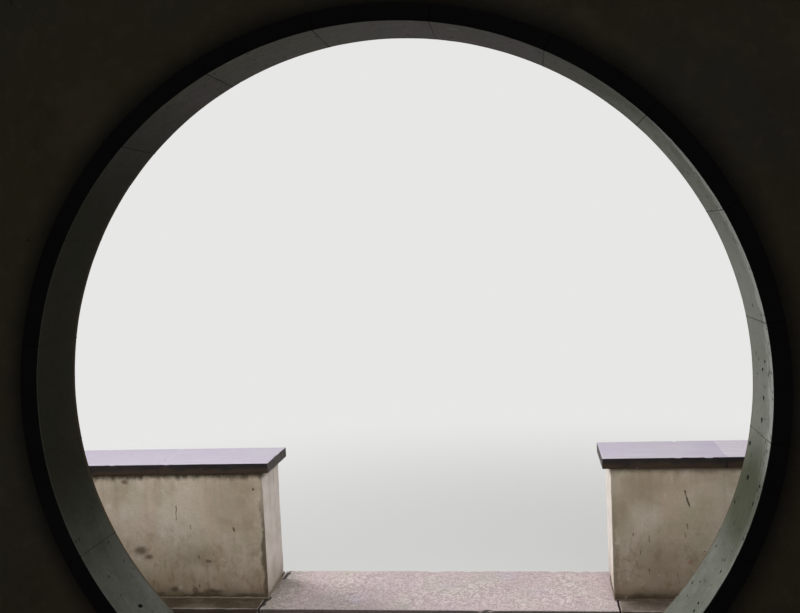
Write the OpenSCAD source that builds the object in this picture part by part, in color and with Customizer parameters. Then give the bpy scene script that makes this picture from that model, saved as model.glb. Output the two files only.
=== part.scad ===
// Moon gate: a plastered wall with a round opening lined in polished grey brick. It stands on a
// low stone podium, which also carries two capped seat walls and the step slab between them.
// Origin: on the ground, under the middle of the opening and in the wall's middle plane.
// The gate is seen from -Y, +X is to the right and +Z is up. Sizes are in millimetres.

/* [Gate wall] */
// Thickness of the gate wall with its plaster
wall_t = 215; // [160:5:360]
// Width of the wall beside the lining, at each side
wall_beside = 472; // [200:1:1200]
// Height of the wall over the lining, without the coping
wall_over = 470; // [200:1:1200]

/* [Round opening] */
// Clear diameter of the round opening
opening_d = 2000; // [1500:10:2600]
// Depth of the circle's lowest point below the floor
opening_dip = 18; // [6:1:60]
// Thickness of the brick lining, which is the width of the band on the wall's faces
lining_t = 48; // [30:1:90]
// How far the lining stands proud of each plastered face
lining_proud = 14; // [5:1:40]
// Radius of the lining's rounded edges
arris_r = 7; // [2:1:12]
// Width of the mortar joints in the lining
lining_joint = 3; // [1:0.5:8]

/* [Podium] */
// Height of the floor above the ground
floor_h = 120; // [90:5:300]
// Thickness of the floor's brick tiles and of the threshold
tile_t = 50; // [30:5:80]
// Depth of the edge stones on the near side
step_d = 310; // [200:10:600]
// Depth of the kerb stones under the seat walls
kerb_d = 425; // [380:5:700]
// Height of the kerb stones above the floor
kerb_rise = 30; // [0:5:120]
// Width of the joints between edge stones and between kerb stones
stone_joint = 4; // [2:1:10]
// How far the threshold runs past the lining's feet
threshold_tail = 80; // [20:5:200]

/* [Seat walls] */
// Clear gap between the two seat walls
gap_w = 1320; // [800:10:1800]
// Clear width of the walkway between the gate wall and the seat walls
walkway_w = 818; // [600:1:1500]
// Height of the seat walls with their caps, above the kerb stones
seat_h = 544; // [350:1:900]
// Thickness of the seat walls
seat_t = 245; // [180:5:360]
// Width of the kerb stones that shows in front of the seat walls
kerb_front = 97; // [40:1:130]

/* [Caps] */
// Thickness of the cap and coping slabs
cap_t = 40; // [25:1:80]
// Longest slab allowed in the coping
coping_l = 445; // [300:5:900]
// How far the slabs stand out over the walls' faces
cap_overhang = 21; // [0:1:60]
// How far the caps stand out over the seat walls' inner ends
cap_end = 28; // [0:1:60]
// Width of the joints between slabs
slab_joint = 2; // [1:0.5:6]

/* [Hidden] */
$fn = 64;
// Sides of the round shapes about the opening, enough that they meet the floor where true arcs do
ring_sides = 360;
// Number of blocks in the lining, one node each
lining_count = 19;
// Cap slabs on each seat wall, one node each
cap_count = 2;
// Width of masonry that the corner pieces keep beside and above the lining
corner_margin = 100;
// The step slab's ends run this far under the seat walls
slab_tail = 15;
// Cuts run this far past the faces that they open
cut = 10;

// Heights
bed_z = floor_h - tile_t;
kerb_z = floor_h + kerb_rise;
seat_z = kerb_z + seat_h - cap_t;
ring_r = opening_d / 2;
ring_out = ring_r + lining_t;
ring_z = floor_h - opening_dip + ring_r;
corner_reach = ring_out + corner_margin;
wall_h = ring_z + ring_out + wall_over;

// Widths, from the middle of the opening
end_x = ring_out + wall_beside;
wall_w = 2 * end_x;
foot_x = sqrt(pow(ring_out, 2) - pow(ring_z - floor_h, 2));
threshold_x = foot_x + threshold_tail;

// Depths, from the gate wall's middle plane
wall_y = wall_t / 2;
lining_y = wall_y + lining_proud;
seat_y = wall_y + walkway_w;
kerb_y = seat_y - kerb_front;

// The lining runs from one foot on the floor, over the top, to the other foot
foot_angle = -asin((ring_z - floor_h) / ring_r);
block_angle = (180 - 2 * foot_angle) / lining_count;
joint_angle = lining_joint / ring_r * 180 / PI;

// Slabs along a seat wall and along the coping
cap_start = gap_w / 2 - cap_end;
cap_pitch = (end_x - cap_start + slab_joint) / cap_count;
coping_count = ceil(wall_w / coping_l);
coping_pitch = (wall_w + slab_joint) / coping_count;

plaster = [0.50, 0.46, 0.41];
seat_plaster = [0.69, 0.65, 0.60];
ring_brick = [0.40, 0.40, 0.38];
slab_brick = [0.36, 0.33, 0.38];
granite = [0.70, 0.65, 0.64];
floor_brick = [0.42, 0.43, 0.42];
core_brick = [0.45, 0.44, 0.43];

// A block between two corners
module block(low, high) {
    translate(low) cube(high - low);
}

// A cylinder along Y about the opening's centre
module round_bore(radius) {
    translate([0, 0, ring_z])
        rotate([90, 0, 0])
        cylinder(r = radius, h = wall_t + 2 * cut, center = true, $fn = ring_sides);
}

// Brick core that carries the gate wall and the floor
module podium_core() {
    color(core_brick) block([-end_x, -wall_y, 0], [end_x, kerb_y, bed_z]);
}

// Floor of the walkway between the gate wall and the kerb stones
module floor_bed() {
    color(floor_brick) block([-end_x, wall_y, bed_z], [end_x, kerb_y, floor_h]);
}

// Stone under the opening, level with the floor
module threshold() {
    color(granite)
        block([-threshold_x, -wall_y, bed_z], [threshold_x, wall_y, floor_h]);
}

// One edge stone on the near side, from one X to another
module step_stone(from_x, to_x) {
    color(granite) block([from_x, -wall_y - step_d, 0], [to_x, -wall_y, floor_h]);
}

// One kerb stone under the seat walls
module kerb_stone(from_x, to_x) {
    color(granite) block([from_x, kerb_y, 0], [to_x, kerb_y + kerb_d, kerb_z]);
}

// Full-height end of the gate wall, on the side of the sign
module pier(side) {
    color(plaster)
        if (side < 0) block([-end_x, -wall_y, bed_z], [-corner_reach, wall_y, wall_h]);
        else block([corner_reach, -wall_y, bed_z], [end_x, wall_y, wall_h]);
}

// Wall above the lining's corner pieces
module wall_crown() {
    color(plaster)
        block([-corner_reach, -wall_y, ring_z + corner_reach], [corner_reach, wall_y, wall_h]);
}

// Quarter of the wall round the opening, above or below its centre
module wall_corner(side, from_z, to_z) {
    color(plaster)
        difference() {
            if (side < 0) block([-corner_reach, -wall_y, from_z], [0, wall_y, to_z]);
            else block([0, -wall_y, from_z], [corner_reach, wall_y, to_z]);
            round_bore(ring_out);
            block([-threshold_x, -wall_y - cut, bed_z - cut], [threshold_x, wall_y + cut, floor_h]);
        }
}

// Section of the lining, with its inner edges rounded
module lining_section() {
    difference() {
        translate([ring_r, -lining_y]) square([lining_t, 2 * lining_y]);
        for (side = [-1, 1])
            translate([ring_r, side * lining_y])
                difference() {
                    square(2 * arris_r, center = true);
                    translate([arris_r, -side * arris_r]) circle(r = arris_r);
                }
    }
}

// One brick of the lining, counted from the right foot over the top to the left foot
module lining_block(index) {
    from_angle = foot_angle + (index - 1) * block_angle + joint_angle / 2;
    color(ring_brick)
        difference() {
            translate([0, 0, ring_z])
                rotate([90, 0, 0])
                rotate([0, 0, from_angle])
                rotate_extrude(angle = block_angle - joint_angle, $fn = ring_sides)
                lining_section();
            if (index == 1 || index == lining_count)
                block([-ring_out, -lining_y - cut, floor_h - 2 * lining_t - cut],
                      [ring_out, lining_y + cut, floor_h]);
        }
}

// Low wall that carries the caps, on the side of the sign
module seat_wall(side) {
    color(seat_plaster)
        if (side < 0) block([-end_x, seat_y, kerb_z], [-gap_w / 2, seat_y + seat_t, seat_z]);
        else block([gap_w / 2, seat_y, kerb_z], [end_x, seat_y + seat_t, seat_z]);
}

// One cap slab, counted outwards from the gap
module cap_slab(side, index) {
    from_x = cap_start + (index - 1) * cap_pitch;
    to_x = from_x + cap_pitch - slab_joint;
    low_x = side < 0 ? -to_x : from_x;
    high_x = side < 0 ? -from_x : to_x;
    color(slab_brick)
        block([low_x, seat_y - cap_overhang, seat_z],
              [high_x, seat_y + seat_t + cap_overhang, seat_z + cap_t]);
}

// Row of slabs along the top of the gate wall
module coping() {
    color(slab_brick)
        for (index = [0 : coping_count - 1])
            translate([-end_x + index * coping_pitch, -wall_y - cap_overhang, wall_h])
                cube([coping_pitch - slab_joint, wall_t + 2 * cap_overhang, cap_t]);
}

podium_core();
floor_bed();
threshold();
step_stone(-end_x, -gap_w / 2 - stone_joint / 2);  // step_left
step_stone(-gap_w / 2 + stone_joint / 2, gap_w / 2 - stone_joint / 2);  // step_middle
step_stone(gap_w / 2 + stone_joint / 2, end_x);  // step_right
kerb_stone(-end_x, -gap_w / 2 - slab_tail - stone_joint);  // kerb_left
kerb_stone(-gap_w / 2 - slab_tail, gap_w / 2 + slab_tail);  // kerb_slab
kerb_stone(gap_w / 2 + slab_tail + stone_joint, end_x);  // kerb_right
pier(-1);  // wall_left_pier
pier(1);  // wall_right_pier
wall_crown();
wall_corner(-1, ring_z, ring_z + corner_reach);  // wall_upper_left
wall_corner(1, ring_z, ring_z + corner_reach);  // wall_upper_right
wall_corner(-1, bed_z, ring_z);  // wall_lower_left
wall_corner(1, bed_z, ring_z);  // wall_lower_right
lining_block(1);  // lining_01
lining_block(2);  // lining_02
lining_block(3);  // lining_03
lining_block(4);  // lining_04
lining_block(5);  // lining_05
lining_block(6);  // lining_06
lining_block(7);  // lining_07
lining_block(8);  // lining_08
lining_block(9);  // lining_09
lining_block(10);  // lining_10
lining_block(11);  // lining_11
lining_block(12);  // lining_12
lining_block(13);  // lining_13
lining_block(14);  // lining_14
lining_block(15);  // lining_15
lining_block(16);  // lining_16
lining_block(17);  // lining_17
lining_block(18);  // lining_18
lining_block(19);  // lining_19
seat_wall(-1);  // seat_wall_left
seat_wall(1);  // seat_wall_right
cap_slab(-1, 1);  // cap_left_1
cap_slab(-1, 2);  // cap_left_2
cap_slab(1, 1);  // cap_right_1
cap_slab(1, 2);  // cap_right_2
coping();
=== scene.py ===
"""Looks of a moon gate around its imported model: plaster, rubbed grey brick, slabs and granite."""

import math

import bpy
import numpy as np
from mathutils import Matrix, Vector


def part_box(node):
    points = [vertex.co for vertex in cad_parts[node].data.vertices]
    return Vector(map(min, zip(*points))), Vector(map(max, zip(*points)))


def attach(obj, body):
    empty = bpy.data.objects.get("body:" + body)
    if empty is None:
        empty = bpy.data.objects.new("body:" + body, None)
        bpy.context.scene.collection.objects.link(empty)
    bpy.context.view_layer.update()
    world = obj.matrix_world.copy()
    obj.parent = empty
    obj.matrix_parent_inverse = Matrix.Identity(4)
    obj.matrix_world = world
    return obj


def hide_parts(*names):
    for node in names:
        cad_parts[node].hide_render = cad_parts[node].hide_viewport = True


bl_info = {
    "name": "Moon gate",
    "version": (1, 0, 0),
    "blender": (4, 5, 0),
    "location": "3D View > Sidebar > Moon gate",
    "description": "Finishes a moon gate with plaster, grey brick, slabs and granite",
    "category": "Object",
}

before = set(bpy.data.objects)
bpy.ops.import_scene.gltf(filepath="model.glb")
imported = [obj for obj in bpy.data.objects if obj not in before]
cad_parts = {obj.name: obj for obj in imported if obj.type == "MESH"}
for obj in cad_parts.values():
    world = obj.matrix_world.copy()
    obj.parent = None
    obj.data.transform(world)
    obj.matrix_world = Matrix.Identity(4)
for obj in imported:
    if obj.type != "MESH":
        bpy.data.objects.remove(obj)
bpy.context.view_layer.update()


def low(node):
    """Lowest corner of a frame node."""
    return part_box(node)[0]


def high(node):
    """Highest corner of a frame node."""
    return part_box(node)[1]


# Places of the gate wall and its lining, in metres
FLOOR = high("threshold").z
BED = low("threshold").z
THRESHOLD_END = high("threshold").x
WALL_TOP = high("wall_crown").z
WALL_END = high("wall_right_pier").x
WALL_FACE = high("wall_crown").y
LINING_FACE = high("lining_10").y
OPENING_RADIUS = 1.0
LINING_THICKNESS = 0.048
LINING_OUT = OPENING_RADIUS + LINING_THICKNESS
OPENING_Z = high("lining_10").z - LINING_OUT
LINING_BLOCKS = 19
FOOT_ANGLE = -math.asin((OPENING_Z - FLOOR) / OPENING_RADIUS)
BLOCK_ANGLE = (math.pi - 2 * FOOT_ANGLE) / LINING_BLOCKS
WALL_FOOT_ANGLE = -math.asin((OPENING_Z - FLOOR) / LINING_OUT)
WALL_NODES = [
    "wall_left_pier",
    "wall_right_pier",
    "wall_crown",
    "wall_upper_left",
    "wall_upper_right",
    "wall_lower_left",
    "wall_lower_right",
]

# Places of the seat walls
KERB_TOP = high("kerb_slab").z
SEAT_TOP = high("seat_wall_left").z
SEAT_NEAR = low("seat_wall_left").y

# Most that layered_noise gives, and how far a seat wall reaches into what it touches
NOISE_PEAK = 1.17
SETTLED = 0.004

# Where a mesh is shaded as a sharp edge, and lengths that count as none
SHARP_ANGLE = math.radians(60)
TOUCHING = 1e-6
TINY = 1e-9

# Decimals to which a block's places are rounded, and the fine steps beside its edges
DECIMALS = 6
FINE_STEPS = 4


def linear(red, green, blue):
    """Blender's linear colour for one written as 0 to 255 on a screen."""
    parts = [value / 255 for value in (red, green, blue)]
    return tuple(p / 12.92 if p <= 0.04045 else ((p + 0.055) / 1.055) ** 2.4 for p in parts)


# Surfaces


class Skin:
    """A piece's surface: points, the directions out of it, distances to its nearest edge, faces.

    Each point also has a tone, which is its piece's own shade, a decay, which is how far it is
    eaten away, and a give, which is how freely it may move.
    """

    def __init__(self, points, outward, edge, quads):
        self.points = points
        self.outward = outward
        self.edge = edge
        self.quads = quads
        self.tone = np.zeros(len(points))
        self.decay = np.zeros(len(points))
        self.give = np.ones(len(points))

    def rest(self, top=False):
        """Keeps the underside where it is, and the top too if another piece lies on it."""
        upward = self.outward[:, 2]
        held = np.abs(upward) if top else np.maximum(-upward, 0)
        self.give = 1 - held * held

    def push(self, amounts):
        """Moves each point outwards by its own amount, where the surface may move."""
        self.points = self.points + self.outward * np.reshape(amounts * self.give, (-1, 1))

    def roughen(self, amount, size, seed, layers=3):
        """Wears soft hollows about size across into the surface."""
        self.push(amount * (layered_noise(self.points, size, seed, layers) - NOISE_PEAK))

    def chip(self, depth, reach, size, share, seed):
        """Breaks small pieces off the edges, on about that share of their length."""
        lumps = 0.5 + 0.5 * layered_noise(self.points, size, seed, 2)
        broken = soft_step(lumps, 1 - share, 1.12 - share)
        near = np.exp(-np.square(self.edge / reach))
        self.push(-depth * broken * near)

    def pit(self, depth, size, share, seed):
        """Sinks small hollows in about that share of the surface."""
        lumps = 0.5 + 0.5 * smooth_noise(self.points, size, seed)
        self.push(-depth * soft_step(lumps, 1 - share, 1))


def joined(skins):
    """One skin of several."""

    def all_of(name):
        return np.concatenate([getattr(skin, name) for skin in skins])

    starts = np.cumsum([0] + [len(skin.points) for skin in skins[:-1]])
    quads = np.concatenate([skin.quads + start for skin, start in zip(skins, starts)])
    whole = Skin(all_of("points"), all_of("outward"), all_of("edge"), quads)
    whole.tone, whole.decay = all_of("tone"), all_of("decay")
    return whole


def soft_step(values, start, end):
    """0 below start, 1 above end, and smooth between them."""
    share = np.clip((values - start) / (end - start), 0, 1)
    return share * share * (3 - 2 * share)


def lattice_value(cells, seed):
    """A repeatable number from -1 to 1 for each whole-number place, mixed with large primes."""
    mixed = cells[..., 0] * 73856093 ^ cells[..., 1] * 19349663 ^ cells[..., 2] * 83492791
    mixed = (mixed ^ seed * 2654435761) & 0xFFFFFFFF
    mixed = (mixed ^ mixed >> 13) * 1274126177 & 0xFFFFFFFF
    return ((mixed ^ mixed >> 16) & 0xFFFF) / 32767.5 - 1


def own_tone(number, seed):
    """A repeatable shade from 0 to 1 for one brick, slab or tile."""
    return 0.5 + 0.5 * lattice_value(np.array([[number, 3, 5]]), seed)[0]


def smooth_noise(points, size, seed):
    """Soft lumps about size across, from -1 to 1."""
    place = points / size
    cells = np.floor(place).astype(np.int64)
    part = place - cells
    part = part * part * (3 - 2 * part)
    total = np.zeros(len(points))
    for corner in np.ndindex(2, 2, 2):
        weight = np.prod(np.where(corner, part, 1 - part), axis=-1)
        total += weight * lattice_value(cells + np.array(corner), seed)
    return total


def layered_noise(points, size, seed, layers=3):
    """Soft lumps with finer ones on them."""
    total = np.zeros(len(points))
    for layer in range(layers):
        total += smooth_noise(points, size / 2**layer, seed + layer) / 2**layer
    return total / 1.5


def grid_quads(rows, columns, flipped=False):
    """Faces of a grid of points that are numbered row by row."""
    first = (np.arange(rows - 1)[:, None] * columns + np.arange(columns - 1)).reshape(-1)
    quads = np.stack([first, first + columns, first + columns + 1, first + 1], axis=1)
    return quads[:, ::-1] if flipped else quads


def stops(half, radius, cell, fine):
    """Places of grid lines along a block: cell apart, with two more over each rounded end."""
    flat = half - radius
    lines = np.linspace(-flat, flat, max(1, math.ceil(2 * flat / cell)) + 1)
    if fine:
        near_end = flat - np.arange(1, FINE_STEPS + 1) * fine
        lines = np.unique(np.round(np.concatenate([lines, near_end, -near_end]), DECIMALS))
        lines = lines[np.abs(lines) <= flat + TINY]
    bend = flat + radius * np.tan(np.radians([22.5, 45]))
    return np.concatenate([-bend[::-1], lines, bend])


def block_skin(lowest, highest, radius, cell, fine=0.0):
    """Closed skin of a block with rounded edges."""
    lowest, highest = np.array(lowest, float), np.array(highest, float)
    half = (highest - lowest) / 2
    lines = [stops(h, radius, cell, fine) for h in half]
    sheets, quads, count = [], [], 0
    for axis in range(3):
        across, along = (axis + 1) % 3, (axis + 2) % 3
        u, v = np.meshgrid(lines[across], lines[along], indexing="ij")
        for side in (-1, 1):
            sheet = np.empty(u.shape + (3,))
            sheet[..., across] = u
            sheet[..., along] = v
            sheet[..., axis] = side * half[axis]
            sheets.append(sheet.reshape(-1, 3))
            quads.append(grid_quads(*u.shape, flipped=side < 0) + count)
            count += u.size
    places = np.round(np.concatenate(sheets), DECIMALS)
    points, index = np.unique(places, axis=0, return_inverse=True)
    core = np.clip(points, radius - half, half - radius)
    outward = points - core
    outward /= np.linalg.norm(outward, axis=1, keepdims=True)
    edge = np.sort(half - np.abs(points), axis=1)[:, 1]
    quads = index.reshape(-1)[np.concatenate(quads)]
    return Skin((lowest + highest) / 2 + core + outward * radius, outward, edge, quads)


def bend_round(skin, middle_angle):
    """Bends a block that lies along X, with its underside as the reveal, round the opening."""
    angle = middle_angle - skin.points[:, 0] / OPENING_RADIUS
    cos, sin = np.cos(angle), np.sin(angle)
    reach = OPENING_RADIUS + skin.points[:, 2]
    skin.points = np.stack([reach * cos, skin.points[:, 1], OPENING_Z + reach * sin], axis=1)
    along, depth, out = skin.outward.T
    skin.outward = np.stack([out * cos + along * sin, depth, out * sin - along * cos], axis=1)


def add_object(name, data):
    """A new object in the scene."""
    new = bpy.data.objects.new(name, data)
    bpy.context.scene.collection.objects.link(new)
    return new


def make_piece(name, skin, material, nodes=()):
    """A mesh object of a skin, which rides on the gate and stands for the named nodes."""
    mesh = bpy.data.meshes.new(name)
    mesh.from_pydata(skin.points.tolist(), [], skin.quads.tolist())
    mesh.validate()
    for label in ("edge", "tone", "decay"):
        values = getattr(skin, label).astype(np.float32)
        mesh.attributes.new(label, "FLOAT", "POINT").data.foreach_set("value", values)
    mesh.shade_smooth()
    mesh.set_sharp_from_angle(angle=SHARP_ANGLE)
    mesh.materials.append(material)
    piece = add_object(name, mesh)
    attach(piece, "root")
    if nodes:
        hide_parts(*nodes)


# Shader nodes


class Graph:
    """Places nodes in one tree and links them as they are placed."""

    def __init__(self, tree):
        self.tree = tree

    def place(self, kind, inputs=None, output=0, **settings):
        """Places one node, sets or links its inputs and returns one of its outputs."""
        node = self.tree.nodes.new(kind)
        for name, value in settings.items():
            setattr(node, name, value)
        for key, value in (inputs or {}).items():
            if isinstance(value, bpy.types.NodeSocket):
                self.tree.links.new(value, node.inputs[key])
            else:
                node.inputs[key].default_value = value
        return node.outputs[output] if node.outputs else None

    def noise(self, vector, scale, detail=3.0, roughness=0.5, distortion=0.0, output=0):
        """Cloudy noise about 0.5, with about scale clouds to the metre."""
        names = ("Vector", "Scale", "Detail", "Roughness", "Distortion")
        inputs = dict(zip(names, (vector, scale, detail, roughness, distortion)))
        return self.place("ShaderNodeTexNoise", inputs, output)

    def math(self, operation, first, second=0.0):
        """One step of arithmetic."""
        return self.place("ShaderNodeMath", {0: first, 1: second}, operation=operation)

    def times(self, *values):
        """The product of several values."""
        product = values[0]
        for value in values[1:]:
            product = self.math("MULTIPLY", product, value)
        return product

    def wander(self, vector, scale, amount):
        """A value that wanders about 0, by up to half the amount."""
        return self.times(self.math("SUBTRACT", self.noise(vector, scale), 0.5), amount)

    def vector(self, operation, first, second, output="Vector"):
        """One step of arithmetic with two vectors."""
        inputs = {0: first, 1: second}
        return self.place("ShaderNodeVectorMath", inputs, output, operation=operation)

    def length(self, vector):
        """The length of a vector."""
        return self.place("ShaderNodeVectorMath", {0: vector}, "Value", operation="LENGTH")

    def scaled(self, vector, amount):
        """The vector times a number."""
        inputs = {0: vector, "Scale": amount}
        return self.place("ShaderNodeVectorMath", inputs, operation="SCALE")

    def bent(self, vector, scale, amount):
        """The vector with small shifts, which bend straight patterns."""
        wander = self.noise(vector, scale, 2.0, output="Color")
        centred = self.vector("SUBTRACT", wander, (0.5, 0.5, 0.5))
        return self.vector("ADD", vector, self.scaled(centred, amount))

    def soft_step(self, value, start, end, to_start=0.0, to_end=1.0):
        """Runs smoothly from one value to another between start and end."""
        inputs = {0: value, 1: start, 2: end, 3: to_start, 4: to_end}
        return self.place("ShaderNodeMapRange", inputs, interpolation_type="SMOOTHSTEP")

    def fade(self, value, start, end):
        """Runs smoothly from 1 at start to 0 at end."""
        return self.soft_step(value, start, end, 1.0, 0.0)

    def from_share(self, share, at_none, at_full):
        """Runs smoothly from one value to another as a share goes from 0 to 1."""
        return self.soft_step(share, 0.0, 1.0, at_none, at_full)

    def between(self, value, rise, fall):
        """A mask with two soft ends, each given as where it is 0 and where it is 1."""
        return self.times(self.soft_step(value, *rise), self.soft_step(value, *fall))

    def blend(self, share, first, second):
        """Mixes two colours."""
        inputs = {0: share, 6: as_colour(first), 7: as_colour(second)}
        return self.place("ShaderNodeMix", inputs, 2, data_type="RGBA")

    def stretched(self, vector, scale):
        """The vector with each axis scaled, so that patterns lie along one of them."""
        return self.place("ShaderNodeMapping", {"Vector": vector, "Scale": scale})

    def axis(self, vector, index):
        """One of a vector's three parts."""
        return self.place("ShaderNodeSeparateXYZ", {0: vector}, index)

    def attribute(self, name):
        """A value that a mesh holds at its points."""
        return self.place("ShaderNodeAttribute", output="Fac", attribute_name=name)

    def normal(self, index):
        """One part of the direction out of the surface."""
        return self.axis(self.place("ShaderNodeNewGeometry", output="Normal"), index)


def as_colour(colour):
    """Blender's colour for a screen's in three parts. One in four, or a socket, stays as it is."""
    if isinstance(colour, tuple) and len(colour) == 3:
        return (*linear(*colour), 1.0)
    return colour


def empty_tree(owner):
    """The node tree of a material or a world, with nothing in it."""
    owner.use_nodes = True
    owner.node_tree.nodes.clear()
    return owner.node_tree


def mottle_effect(g, vector, scale, share, softness):
    """Patches, large ones with small ones in them."""
    cloud = g.noise(vector, scale, 5.0, 0.62, 0.25)
    limit = g.from_share(share, 0.72, 0.28)
    start = g.math("SUBTRACT", limit, softness)
    return g.soft_step(cloud, start, g.math("ADD", limit, softness))


def streak_effect(g, vector, top, reach, scale):
    """Streaks that run down from a height and fade."""
    drawn = g.noise(g.stretched(vector, (1.0, 1.0, 0.05)), scale, 4.0, 0.6, 0.1)
    below = g.math("SUBTRACT", top, g.axis(vector, 2))
    wander = g.noise(g.stretched(vector, (1.0, 1.0, 0.1)), 5.0, 2.0)
    length = g.times(reach, g.soft_step(wander, 0.3, 0.7, 0.35, 1.5))
    fade = g.fade(g.math("DIVIDE", below, length), 0.0, 1.0)
    return g.times(g.soft_step(drawn, 0.47, 0.72), fade)


def splash_effect(g, vector, level, reach, scale, up):
    """Dirt that spreads up from a level, or down from it where Up is -1, with a ragged end."""
    away = g.math("SUBTRACT", g.axis(vector, 2), level)
    share = g.math("DIVIDE", g.times(away, up), reach)
    ragged = g.noise(g.stretched(vector, (1.0, 1.0, 0.6)), scale, 5.0, 0.65)
    height = g.math("ADD", share, g.times(g.math("SUBTRACT", ragged, 0.5), 1.6))
    return g.fade(height, 0.1, 1.0)


def pit_effect(g, vector, scale, share, size):
    """Scattered pits of uneven shape and size."""
    rough = g.bent(g.bent(vector, 45.0, 0.014), 150.0, 0.006)
    distance = g.place("ShaderNodeTexVoronoi", {"Vector": rough, "Scale": scale}, "Distance")
    own = distance.node.outputs["Color"]
    chosen = g.math("LESS_THAN", g.axis(own, 0), share)
    size = g.times(size, g.from_share(g.axis(own, 1), 0.35, 1.3))
    return g.times(g.fade(distance, g.times(size, 0.5), size), chosen)


def crack_effect(g, vector, scale, share, width):
    """Hairline cracks in some areas."""
    bent = g.bent(g.bent(vector, 6.0, 0.14), 40.0, 0.012)
    inputs = {"Vector": bent, "Scale": scale}
    line = g.place("ShaderNodeTexVoronoi", inputs, feature="DISTANCE_TO_EDGE")
    limit = g.from_share(share, 0.75, 0.25)
    area = g.soft_step(g.noise(vector, 1.7), limit, g.math("ADD", limit, 0.06))
    return g.times(g.fade(line, 0.0, width), area)


def wear_effect(g, vector, edge, reach):
    """Rubbing along edges, from the distance to the nearest edge."""
    ragged = g.soft_step(g.noise(vector, 22.0, 5.0, 0.65), 0.3, 0.7, 0.2, 1.6)
    return g.fade(g.math("DIVIDE", edge, g.times(reach, ragged)), 0.0, 1.0)


def stroke_effect(g, vector, start, end, flat, width):
    """One crack between two places. Flat has 1 along the face and little across it."""
    rough = g.bent(vector, 24.0, 0.012)
    away = g.vector("MULTIPLY", g.vector("SUBTRACT", rough, start), flat)
    run = g.vector("MULTIPLY", g.vector("SUBTRACT", end, start), flat)
    along = g.vector("DOT_PRODUCT", away, run, "Value")
    share = g.math("DIVIDE", along, g.vector("DOT_PRODUCT", run, run, "Value"))
    foot = g.scaled(run, g.place("ShaderNodeClamp", {0: share}))
    gap = g.length(g.vector("SUBTRACT", away, foot))
    width = g.times(width, g.soft_step(g.noise(vector, 45.0, 2.0), 0.35, 0.6, 0.3, 1.3))
    return g.fade(gap, g.times(width, 0.4), width)


def spot_effect(g, vector, centre, reach, softness):
    """One ragged blot round a place, with its own reach along each axis."""
    rough = g.bent(g.bent(vector, 30.0, 0.016), 110.0, 0.006)
    away = g.vector("DIVIDE", g.vector("SUBTRACT", rough, centre), reach)
    start = g.math("SUBTRACT", 1.0, softness)
    return g.fade(g.length(away), start, 1.0)


# A place that each use sets, and a stroke's Flat on an upright face and on a level one
NOWHERE = (0.0, 0.0, 0.0)
ON_FRONT = (1.0, 0.1, 1.0)
ON_TOP = (1.0, 1.0, 0.1)

# Each shared effect: its function, and the inputs that it takes after the place
EFFECTS = {
    "Mottle": (mottle_effect, {"Scale": 3.0, "Share": 0.5, "Softness": 0.12}),
    "Streaks": (streak_effect, {"Top": 1.0, "Reach": 0.5, "Scale": 14.0}),
    "Splash": (splash_effect, {"Level": 0.0, "Reach": 0.2, "Scale": 9.0, "Up": 1.0}),
    "Pits": (pit_effect, {"Scale": 40.0, "Share": 0.1, "Size": 0.25}),
    "Cracks": (crack_effect, {"Scale": 3.0, "Share": 0.3, "Width": 0.01}),
    "Edge wear": (wear_effect, {"Edge": 1.0, "Reach": 0.01}),
    "Stroke": (
        stroke_effect,
        {"Start": NOWHERE, "End": (0.0, 0.0, 1.0), "Flat": ON_FRONT, "Width": 0.003},
    ),
    "Spot": (spot_effect, {"Centre": NOWHERE, "Reach": (0.02, 0.1, 0.02), "Softness": 0.5}),
}


def effect_group(name):
    """The shared effect of that name as a node group, built when it is first asked for."""
    tree = bpy.data.node_groups.get(name)
    if tree:
        return tree
    make, inputs = EFFECTS[name]
    tree = bpy.data.node_groups.new(name, "ShaderNodeTree")
    for label, default in {"Vector": NOWHERE, **inputs}.items():
        kind = "NodeSocketFloat" if isinstance(default, float) else "NodeSocketVector"
        socket = tree.interface.new_socket(label, in_out="INPUT", socket_type=kind)
        socket.default_value = default
    tree.interface.new_socket("Mask", in_out="OUTPUT", socket_type="NodeSocketFloat")
    given = [socket for socket in tree.nodes.new("NodeGroupInput").outputs if socket.name]
    result = tree.nodes.new("NodeGroupOutput")
    tree.links.new(make(Graph(tree), *given), result.inputs["Mask"])
    return tree


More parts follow.
